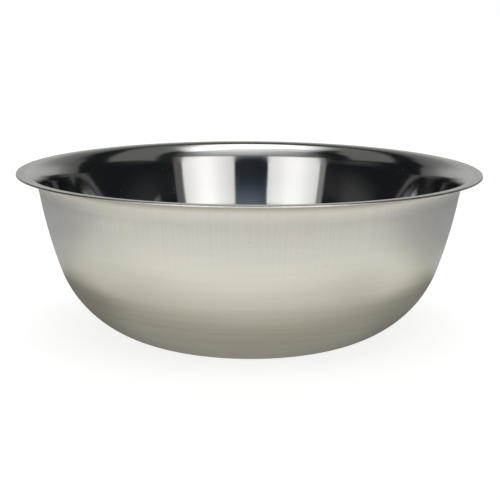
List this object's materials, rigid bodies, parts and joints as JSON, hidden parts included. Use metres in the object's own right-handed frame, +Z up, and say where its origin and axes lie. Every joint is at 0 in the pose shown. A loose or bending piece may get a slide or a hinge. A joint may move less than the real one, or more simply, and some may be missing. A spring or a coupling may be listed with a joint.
{
  "type": "mixing bowl",
  "caption": "Round stainless steel mixing bowl with a flat base, steep curved wall and a flat, horizontal flared rim.",
  "frame": {"origin": "centre of the flat base's underside, on the surface that the bowl stands on", "axes": "+Z up along the bowl's axis of revolution, from the base to the rim; X and Y are any two level directions"},
  "size_m": [0.4064, 0.4064, 0.1487],
  "materials": {
    "stainless_steel": "satin outside and on the rim, mirror polished inside"
  },
  "bodies": {
    "root": {"bowl_shell": "stainless_steel"}
  },
  "joints": []
}
